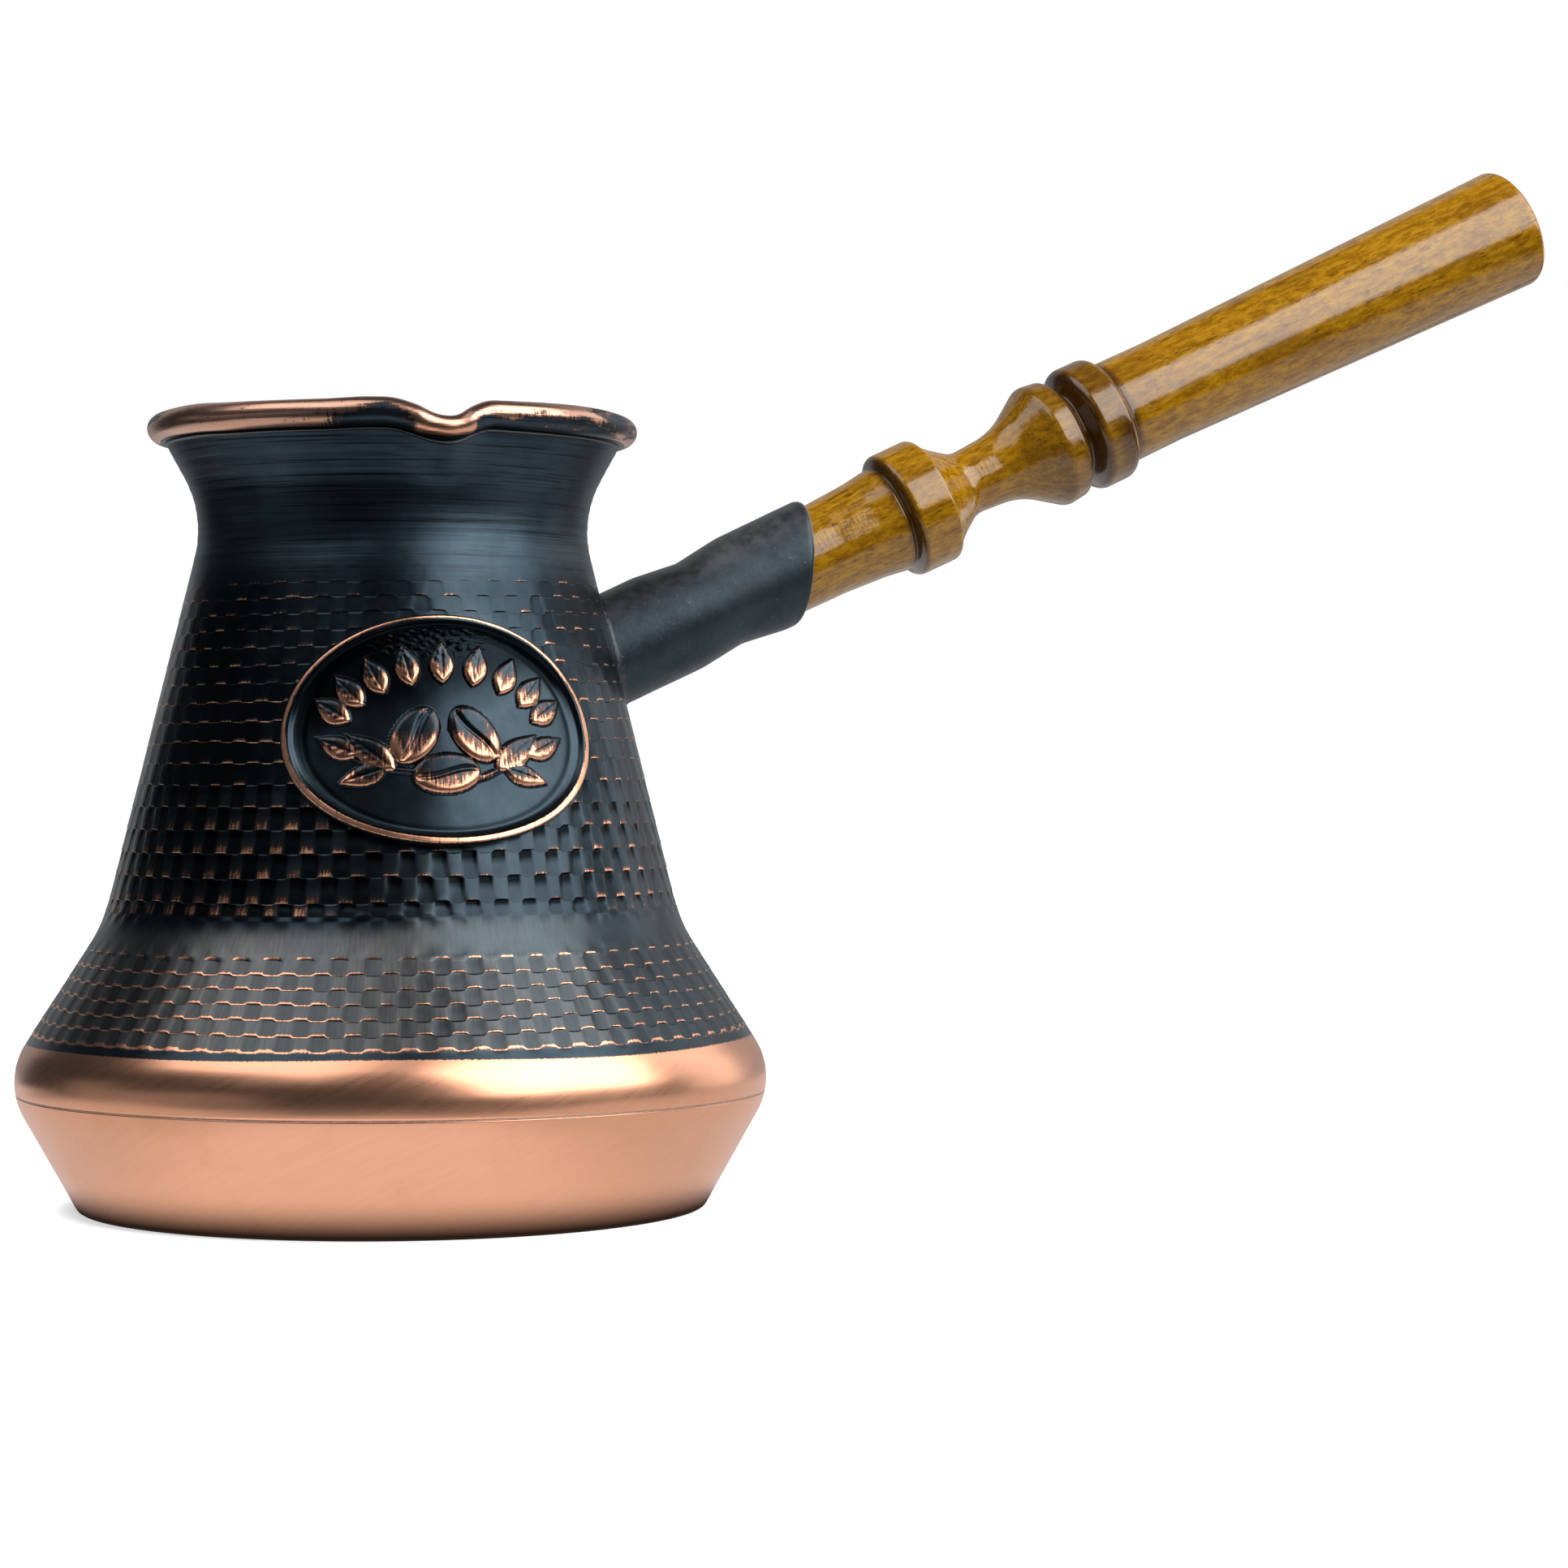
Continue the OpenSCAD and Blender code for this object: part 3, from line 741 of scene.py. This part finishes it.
def body_rows():
    """All rows from the seam to the step under the rim."""
    lower = [LOWER_TOP - LOWER_STEP * k for k in range(LOWER_ROWS, -1, -1)]
    upper = [UPPER_TOP - UPPER_STEP * k - UPPER_GROWTH * k * k for k in range(UPPER_ROWS, -1, -1)]
    upper = [UPPER_END] + upper
    rows = []
    border = 0.2 * waves(facing * 45, 0, 40, 21)
    for z in np.linspace(SEAM_HIGH, BARE_TOP - 1.1, 20):
        rows.append(wall_row(z, 0.012 * waves(facing * 50, z * 8, 20, 22), 1.0))
    for d in np.linspace(-0.4, 0.5, 8):
        rows.append(wall_row(BARE_TOP + d + border, 0.0, smooth(0.35, -0.35, d)))
    rows.append(wall_row((BARE_TOP + 0.5 + lower[0]) / 2, 0.0, 0.0))
    rows += weave_rows(lower, 0)
    rows += worn_rows(lower[-1], upper[0])
    rows += weave_rows(upper, 41)
    for z in np.arange(UPPER_TOP + 0.4, 107.6, 0.4):
        spun = 0.02 * math.sin(z * TAU / 1.35) + 0.016 * waves(facing * 33, z * 30, 60, 31)
        rows.append(wall_row(z, spun * smooth(89, 93, z), 0.0))
    # Under the rim's bead: a painted highlight on the sheet's edge, with painted shade in the groove below
    # it.
    for z, relief, pit, rub in ((107.72, 0.02, 0.3, 0), (107.82, 0.16, 0, 1), (107.93, 0.19, 0, 1),
                                (108.02, 0.1, 0.5, 0.3), (108.1, -0.12, 1, 0)):
        rows.append(wall_row(z, relief, 0.0, pit, rub))
    return rows


def pot_body():
    z, relief, bare, pit, rub = np.stack(body_rows(), 1)
    z = z + 0.35 * np.sin(facing) * smooth(22, 25, z) * smooth(104, 90, z)
    out, up = wall_normal(z)
    grid = turned(wall_radius(z) + relief * out, z + relief * up, theta)

    turn = np.radians(np.linspace(-104, 192, 34))[:, None]
    _, dip = press_spout(turned(RIM_R + 0 * theta, RIM_Z, theta))
    hand = 0.05 * waves(facing * 33, 0, 30, 51) - 0.4 * smooth(0.5, 1.0, dip)
    radius = BEAD_R + hand
    bead = turned(RIM_R + radius * np.cos(turn), RIM_Z + radius * np.sin(turn), theta)
    _, dip = press_spout(bead)
    along = facing * 33
    seen = np.degrees(facing)
    dark_arc = smooth(-24, -8, seen) * smooth(72, 58, seen)
    dark = np.maximum(dark_arc, np.clip(0.3 + 0.6 * waves(along, 0, 22, 52), 0, 1) * (np.cos(facing) < 0))
    dark = dark * (1 - smooth(0.3, 0.75, dip))
    lower_side = smooth(math.radians(38), math.radians(-26), turn + 0.3 * waves(along, turn * 4, 9, 53))
    # The groove under the bead shows less copper and gets painted shade.
    groove = smooth(math.radians(-84), math.radians(-98), turn)
    brown = np.clip(waves(along, turn * 5, 16, 54) - 0.55, 0, 0.5) * smooth(0.3, 0.0, dip)
    worn = 0.80 + 0.2 * smooth(0.2, 0.7, dip)
    bead_bare = worn - np.maximum(0.60 * lower_side * dark, groove) - 0.8 * brown

    inner = spaced(rounded(moved(POT, WALL)), 3.0)
    inner = inner[(inner[:, 1] > SEAM_HIGH) & (inner[:, 1] < 109.2) & (inner[:, 0] > 20)][::-1]
    inside = turned(np.repeat(inner[:, :1], COLUMNS, 1), inner[:, 1:], theta)

    rub = np.concatenate([rub, 0 * bead[..., 0], 0 * inside[..., 0]])
    grid = np.concatenate([grid, bead, inside])
    bare = np.concatenate([bare, bead_bare, np.ones(inside.shape[:2])])
    pit = np.concatenate([pit, np.repeat(groove * 0.8, COLUMNS, 1), np.zeros(inside.shape[:2])])
    grid, _ = press_spout(grid)
    share = np.concatenate([np.linspace(0, 0.80, len(z)), np.linspace(0.80, 0.90, len(bead) + 2)[1:-1],
                            np.linspace(0.90, 0.99, len(inside))])
    return skin_mesh("pot_body_shell", grid, ring=True, across=share, bare=bare, pit=pit, rub=rub)


# ---------------------------------------- the base pan, seam and tin

def lathe(name, outline, columns, press=False, **values):
    """A closed turned solid from an outline that starts and ends on the axis or joins its own start."""
    t = circle(columns)
    on_axis = outline[0, 0] < 1e-6
    inner = outline[1:-1] if on_axis else outline
    grid = turned(np.repeat(inner[:, :1], columns, 1), inner[:, 1:], t)
    if press:
        grid, _ = press_spout(grid)
    made = {k: np.full(grid.shape[:2], v) for k, v in values.items()}
    return skin_mesh(name, grid, ring=not on_axis, caps=on_axis, **made)


def base_pan():
    top = SEAM_LOW
    outer = spaced(OUTER, 0.8)
    outer = outer[outer[:, 1] < top - 0.1]
    outer = np.concatenate([outer, [[wall_radius(top - 0.1), top - 0.06], [wall_radius(top) - 0.06, top]]])
    inner = spaced(rounded(moved(POT, WALL)), 3.0)
    inner = inner[inner[:, 1] < top][::-1]
    return lathe("base_pan_shell", np.concatenate([outer, inner]), 512, bare=1.0, pit=0.0)


def seam_solder():
    r = float(wall_radius(SEAM_Z))
    outline = np.array([(r - WALL, SEAM_LOW), (r - 0.05, SEAM_LOW), (r - 0.03, SEAM_Z),
                        (r - 0.05, SEAM_HIGH), (r - WALL, SEAM_HIGH)])
    return lathe("seam_solder_ring", outline, 512)


def tin_lining():
    outer = spaced(rounded(moved(POT, WALL)), 0.8)
    inner = spaced(rounded(moved(POT, WALL + TIN)), 0.8)
    lip = np.array([[(outer[-1, 0] + inner[-1, 0]) / 2, outer[-1, 1] + 0.05]])
    return lathe("tin_lining_skin", np.concatenate([outer, lip, inner[::-1]]), 360, press=True)


# ---------------------------------------- the plaque

def bump_of(inside, edge, height):
    """A rounded raised shape: inside is the distance within its outline, in mm."""
    return height * np.sqrt(np.clip(1 - (1 - np.clip(inside / edge, 0, 1)) ** 2, 0, 1))


def turned_to(x, y, cx, cy, degrees):
    c, s = math.cos(math.radians(degrees)), math.sin(math.radians(degrees))
    return (x - cx) * c + (y - cy) * s, -(x - cx) * s + (y - cy) * c


def leaf_depth(x, y, cx, cy, degrees, length, width):
    """How far inside a pointed leaf each point is; the leaf starts at cx, cy."""
    a, b = turned_to(x, y, cx, cy, degrees)
    t = np.clip(a / length, 0, 1)
    depth = width / 2 * np.sin(math.pi * t ** 0.8) - np.abs(b)
    vein = 0.28 * np.exp(-(b / 0.16) ** 2) * smooth(0.05, 0.2, t) * smooth(0.98, 0.8, t)
    ribs = 0.10 * (0.5 + 0.5 * np.cos((a - 0.9 * np.abs(b)) * TAU / 1.15))
    return np.where((a > 0) & (a < length), depth, -1.0), vein + ribs


def bean_depth(x, y, cx, cy, degrees, w, h):
    """How far inside a coffee bean each point is, and its crease."""
    a, b = turned_to(x, y, cx, cy, degrees)
    depth = (1 - np.sqrt((a / w) ** 2 + (b / h) ** 2)) * h
    crease = 0.75 * np.exp(-((b - 0.45 * np.sin(a / w * 2.6)) / 0.34) ** 2)
    return depth, crease


def plaque_relief(x, y):
    """Height of the relief over the plaque's field: an arch of leaves over a fruiting coffee sprig."""
    shapes = []
    for step in range(-4, 5):
        t = math.radians(90 - 18.5 * step)
        cx, cy = 15.4 * math.cos(t), 9.3 * math.sin(t)
        lean = math.degrees(t) * 0.8 + 18
        c, s = math.cos(math.radians(lean)), math.sin(math.radians(lean))
        shapes.append((*leaf_depth(x, y, cx - 2.9 * c, cy - 2.9 * s, lean, 6.0, 3.5), 0.66, cy))
    stem = 0.5 - np.abs(y + 6.6 - 0.024 * x ** 2 + 0.45 * np.sin(x * 0.45)) - np.clip(np.abs(x) - 14.6, 0, 9)
    shapes.append((stem, 0 * x, 0.5, -6.6))
    for side in (-1, 1):
        for start, lean, length, width in ((6.4, 38, 8.2, 3.9), (11.0, 24, 6.4, 3.2), (7.4, -20, 6.6, 3.1)):
            angle = lean if side > 0 else 180 - lean
            cy = -6.6 + 0.024 * start ** 2
            middle = cy + length / 2 * math.sin(math.radians(angle))
            shapes.append((*leaf_depth(x, y, side * start, cy, angle, length, width), 0.66, middle))
    for cx, cy, lean in ((-3.9, -0.8, 58), (3.9, -0.6, -56), (0.0, -6.0, 4)):
        shapes.append((*bean_depth(x, y, cx, cy, lean, 4.4, 2.9), 0.8, cy))
    height, edge, low = np.zeros_like(x), np.full_like(x, 9.0), np.zeros_like(x)
    for depth, cut, top, middle in shapes:
        raised = bump_of(depth, 0.9, top) - cut * smooth(0.1, 0.5, depth) * top * 0.55
        edge = np.where(raised > height, depth, edge)
        low = np.where(raised > height, smooth(2.2, -2.2, y - middle), low)
        height = np.maximum(height, raised)
    return height, edge, low


def on_wall(x, y, height):
    """Points at a height over the wall, x and y mm from the plaque's middle."""
    z = PLAQUE_Z + y * 0.971
    turn = SPOUT + (x + PLAQUE_SHIFT) / wall_radius(np.full_like(z, PLAQUE_Z))
    out, up = wall_normal(z)
    return turned(wall_radius(z) + height * out, z + height * up, turn)


def medallion_solder():
    """The thin layer between the wall and the plaque, drawn a little in from the plaque's edge."""
    t = circle(200)
    rho = np.linspace(0.02, 0.975, 24)[:, None]
    x, y = PLAQUE_HALF_W * rho * np.cos(t), PLAQUE_HALF_H * rho * np.sin(t)
    grid = np.concatenate([on_wall(x, y, PLAQUE_BACK - 0.01 + 0 * x), on_wall(x, y, -0.02 + 0 * x)[::-1]])
    return skin_mesh("medallion_solder_pad", grid, caps=True)


def medallion():
    around, rings = 560, 104
    t = circle(around)
    rho = np.concatenate([np.linspace(0.012, 0.86, rings - 26), np.linspace(0.86, 1.0, 27)[1:]])[:, None]
    x = PLAQUE_HALF_W * rho * np.cos(t)
    y = PLAQUE_HALF_H * rho * np.sin(t)
    uneven = 1 + 0.012 * waves(15 * np.cos(t), 15 * np.sin(t), 9, 61)
    gap = (1 - rho) * (PLAQUE_HALF_W + PLAQUE_HALF_H) / 2 * uneven
    relief, edge, low = plaque_relief(x, y)
    field = smooth(2.3, 3.1, gap)
    cove = 0.62 * smooth(2.6, 0.9, gap) ** 1.3
    ridge = 0.42 * smooth(1.5, 1.0, gap) * (1 - 0.9 * smooth(0.45, 0.0, gap) ** 2)
    lumps = np.clip(waves(x * 2.2, y * 3.6, 2.6, 62, 40) + 0.5 * waves(x * 5, y * 6, 2.4, 66, 40), -0.1, 1.6)
    rough_cast = 0.12 * lumps * smooth(9.4, 11.4, y) * smooth(12, 5, np.abs(x + 2)) * smooth(1.5, 2.3, gap)
    height = 0.85 + cove + ridge + relief * field * 0.95 + rough_cast + 0.012 * waves(x, y, 4, 63)

    streak = 0.5 + 0.5 * waves(x * 14, y * 0.8, 5, 64)
    wide = 0.55 + 0.25 * (1 - np.sin(t)) + 0.05 * waves(15 * np.cos(t), 15 * np.sin(t), 5, 65)
    on_frame = smooth(1.35, 0.85, gap / wide) * smooth(0.05, 0.3, gap) * (0.66 + 0.14 * streak)
    rim_of_shape = smooth(0.0, 0.3, edge) * smooth(1.6, 0.4, edge)
    rubbed_low = smooth(0.1, 0.85, low)
    on_relief = np.where(relief > 0.2, 0.17 + 0.14 * rim_of_shape + (0.19 + 0.13 * rim_of_shape) * rubbed_low
                         + 0.14 * streak * rubbed_low, 0) * field
    bare = np.maximum(on_frame, on_relief)
    # Painted shade: the field is darker towards its top and left and round the foot of the relief.
    shade = 0.9 * smooth(0.5, 8.0, y - 0.25 * x) * (relief < 0.2)
    # Painted shade: a thin dark line in the cove, with the cove's upper part darker.
    cove_shade = 0.7 * smooth(2.2, 2.6, gap) * smooth(3.3, 2.8, gap)
    cove_shade = cove_shade + 0.8 * smooth(2.0, 8.0, y) * (gap > 0.9) * (gap < 3)
    pit = np.clip(np.where((relief < 0.2) & (relief > 0.0), 0.8, shade * field) + cove_shade, 0, 1)

    front = on_wall(x, y, PLAQUE_BACK + height)
    side = np.array([0.75, 0.35, 0.0])[:, None]
    edge_top = height[-1]
    sides = on_wall(x[-1] + 0 * side, y[-1] + 0 * side, PLAQUE_BACK + edge_top * side)
    back_rho = np.array([0.7, 0.35, 0.02])[:, None]
    back = on_wall(x[-1] * back_rho, y[-1] * back_rho, PLAQUE_BACK + 0 * back_rho * t)
    grid = np.concatenate([front, sides, back])
    bare = np.concatenate([bare, 0.3 * np.ones((3, around)), np.zeros((3, around))])
    pit = np.concatenate([pit, 0.3 * np.ones((3, around)), np.zeros((3, around))])
    return skin_mesh("medallion_plaque", grid, caps=True, bare=bare, pit=pit)


# ---------------------------------------- the socket, its braze and the handle

ALONG = np.array([math.cos(HANDLE_TILT), 0, math.sin(HANDLE_TILT)])
DOWN = np.array([math.sin(HANDLE_TILT), 0, -math.cos(HANDLE_TILT)])
ACROSS = np.array([0.0, 1.0, 0.0])
SOCKET_OUTLINE = rounded(SOCKET)


def about_handle(radius, along, turn):
    """Points about the handle's axis; turn 0 is the underside."""
    radius, along, turn = np.broadcast_arrays(radius, along, turn)
    middle = np.array([0, 0, HANDLE_Z]) + along[..., None] * ALONG
    return middle + radius[..., None] * (np.cos(turn)[..., None] * DOWN + np.sin(turn)[..., None] * ACROSS)


def socket_radius(along, turn):
    """The socket's outer radius, crimped a little further out on its underside."""
    crimped = np.interp(along - 1.9 * np.cos(turn), SOCKET_OUTLINE[:, 1], SOCKET_OUTLINE[:, 0])
    plain = np.interp(along, (15, 60, 80), (8.1, 8.25, 8.4))
    return crimped + (plain - crimped) * 0.85 * np.abs(np.sin(turn)) ** 1.5


def meets_wall(radius, turn, lift=0.0):
    """Distance along the handle at which a line at that radius comes out of the pot's wall."""
    low, high = np.full(turn.shape, 15.0), np.full(turn.shape, 60.0)
    for _ in range(30):
        middle = (low + high) / 2
        p = about_handle(radius, middle, turn)
        inside = np.hypot(p[..., 0], p[..., 1]) < wall_radius(p[..., 2]) + lift
        low, high = np.where(inside, middle, low), np.where(inside, high, middle)
    return (low + high) / 2


def handle_socket():
    turn = circle(256)
    begin = meets_wall(8.25, turn) - 0.6
    end = (MOUTH_X - 8.35 * np.cos(turn) * DOWN[0]) / ALONG[0]
    rows, bare = [], []
    for t in np.linspace(0, 1, 110):
        along = begin + (end - 0.9 - begin) * t
        dent = 0.012 * waves(along, 8 * np.cos(turn), 18, 71) + 0.006 * waves(along, 8 * np.sin(turn), 5, 72)
        rows.append(about_handle(socket_radius(along, turn) + dent * smooth(0, 0.1, t), along, turn))
        bare.append(0.03 + 0 * turn)
    lip = [(0.06, 0.62), (0.16, 0.36), (0.34, 0.14), (0.56, 0.03), (0.80, 0.0), (1.02, 0.06), (1.13, 0.22),
           (1.17, 0.6), (1.2, 2.0)]
    # The lip's pale line: partly bare metal, partly a painted glint.
    for less, back in lip:
        rows.append(about_handle(socket_radius(end - 0.9, turn) - less, end - back, turn))
        bare.append((0.6 if 0.3 < less < 1.0 else 0.05) + 0.1 * waves(turn * 8, 0 * turn, 4, 73))
    for t in np.linspace(0, 1, 10)[1:]:
        along = (end - 2.0) * (1 - t) + (begin + 0.8) * t
        rows.append(about_handle(socket_radius(along, turn) - SOCKET_WALL, along, turn))
        bare.append(0.0 * turn)
    bare = np.stack(bare)
    # The top side is painted paler: partly dust, partly painted sheen from the light above.
    rub = 0.8 * smooth(0.35, 1.0, -np.cos(turn)) + 0 * bare
    return skin_mesh("handle_socket_tube", np.stack(rows), ring=True, bare=bare, pit=0 * bare, rub=rub)


def socket_braze():
    """A small hollow fillet that runs round the socket where it meets the wall."""
    turn = circle(256)
    size = 0.95 + 0.16 * waves(turn * 8, 0 * turn, 6, 81) + 0.25 * np.cos(turn)
    start = meets_wall(8.25, turn)
    rows = []
    for t in np.linspace(0, 1, 12):
        grow, climb = (1 - t) ** 2 * size, t ** 2 * size
        radius = 8.2 + grow
        rows.append(about_handle(radius, meets_wall(radius, turn) + climb + 0.02, turn))
    rows.append(about_handle(8.0, start + size * 0.9, turn))
    rows.append(about_handle(8.0, start - 0.4, turn))
    rows.append(about_handle(8.2 + size * 0.8, meets_wall(8.2 + size * 0.8, turn) - 0.4, turn))
    return skin_mesh("socket_braze_fillet", np.stack(rows), ring=True)


def wooden_handle():
    turn = circle(160)
    outline = spaced(rounded(TURNING, 0.15), 0.5)[1:-1]
    radius, along = outline[:, :1], outline[:, 1:]
    soft = 0.006 * waves(along * 0.6, 4 * np.cos(turn), 12, 91)
    grid = about_handle(np.maximum(radius + soft * (radius > 3), 0.02), along, turn)
    near = np.minimum.reduce([np.abs(along - a) / w for a, w in
                              ((83.0, 1.1), (114.6, 2.2), (122.2, 0.9))])
    bulb = smooth(104, 110, along) * smooth(123, 120, along)
    bead = smooth(113.5, 115.5, along) * smooth(122.6, 121, along)
    patchy = 0.7 + 0.3 * waves(along, 8 * np.cos(turn), 7, 92)
    stain = np.clip(smooth(1.4, 0.2, near) * 0.9 + (0.45 * bulb + 0.35 * bead) * patchy, 0, 1)
    return skin_mesh("wooden_handle_turning", grid, caps=True, stain=stain + 0 * turn)


def handle_screw():
    """A domed slotted head on the socket's far side, and its shank."""
    at = 58.0
    turn = circle(96)
    outline = [(0.02, 9.35), (0.5, 9.34), (1.0, 9.27), (1.5, 9.12), (1.9, 8.92), (2.25, 8.66), (2.45, 8.4),
               (2.5, 8.2), (2.46, 8.05), (1.2, 8.0), (1.2, 4.0), (0.9, 1.5), (0.05, 0.6)]
    rows = []
    for radius, out in outline:
        x, y = radius * np.cos(turn), radius * np.sin(turn)
        slot = smooth(0.42, 0.30, np.abs(y)) * (out > 8.3)
        level = out - 0.55 * slot
        middle = np.array([0, 0, HANDLE_Z]) + (at + x)[:, None] * ALONG - y[:, None] * DOWN
        rows.append(middle + np.broadcast_to(level, x.shape)[:, None] * ACROSS)
    return skin_mesh("handle_screw_part", np.stack(rows), caps=True)


# ---------------------------------------- putting it together

copper = copper_material()
cast = (0.35, 0.6), (0.5, 0.08), 0.65
solder = plain_metal("grey_solder", 0.7, (0.36, 0.27, 0.23), (0.55, 0.42, 0.36), *cast)
braze = plain_metal("dark_braze", 0.7, (0.035, 0.042, 0.05), (0.085, 0.095, 0.105), *cast)
steel = plain_metal("screw_steel", 1.2, (0.42, 0.41, 0.39), (0.62, 0.61, 0.59), (0.25, 0.45), (0.3, 0.03))
drawn = plain_metal("drawn_copper", 1.5, (0.72, 0.33, 0.19), (0.84, 0.43, 0.28), (0.25, 0.4), (0.2, 0.02))
place(pot_body(), "pot_body", copper)
place(base_pan(), "base_pan", copper)
place(seam_solder(), "seam_solder", solder)
place(tin_lining(), "tin_lining", tin_material())
place(medallion(), "medallion", copper)
place(medallion_solder(), "medallion_solder", solder)
place(handle_socket(), "handle_socket", socket_material())
place(socket_braze(), "socket_braze", braze)
place(wooden_handle(), "wooden_handle", wood_material())
place(handle_screw(), "handle_screw", steel)
rim_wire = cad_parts["rim_wire"].data.materials
rim_wire.clear()
rim_wire.append(drawn)
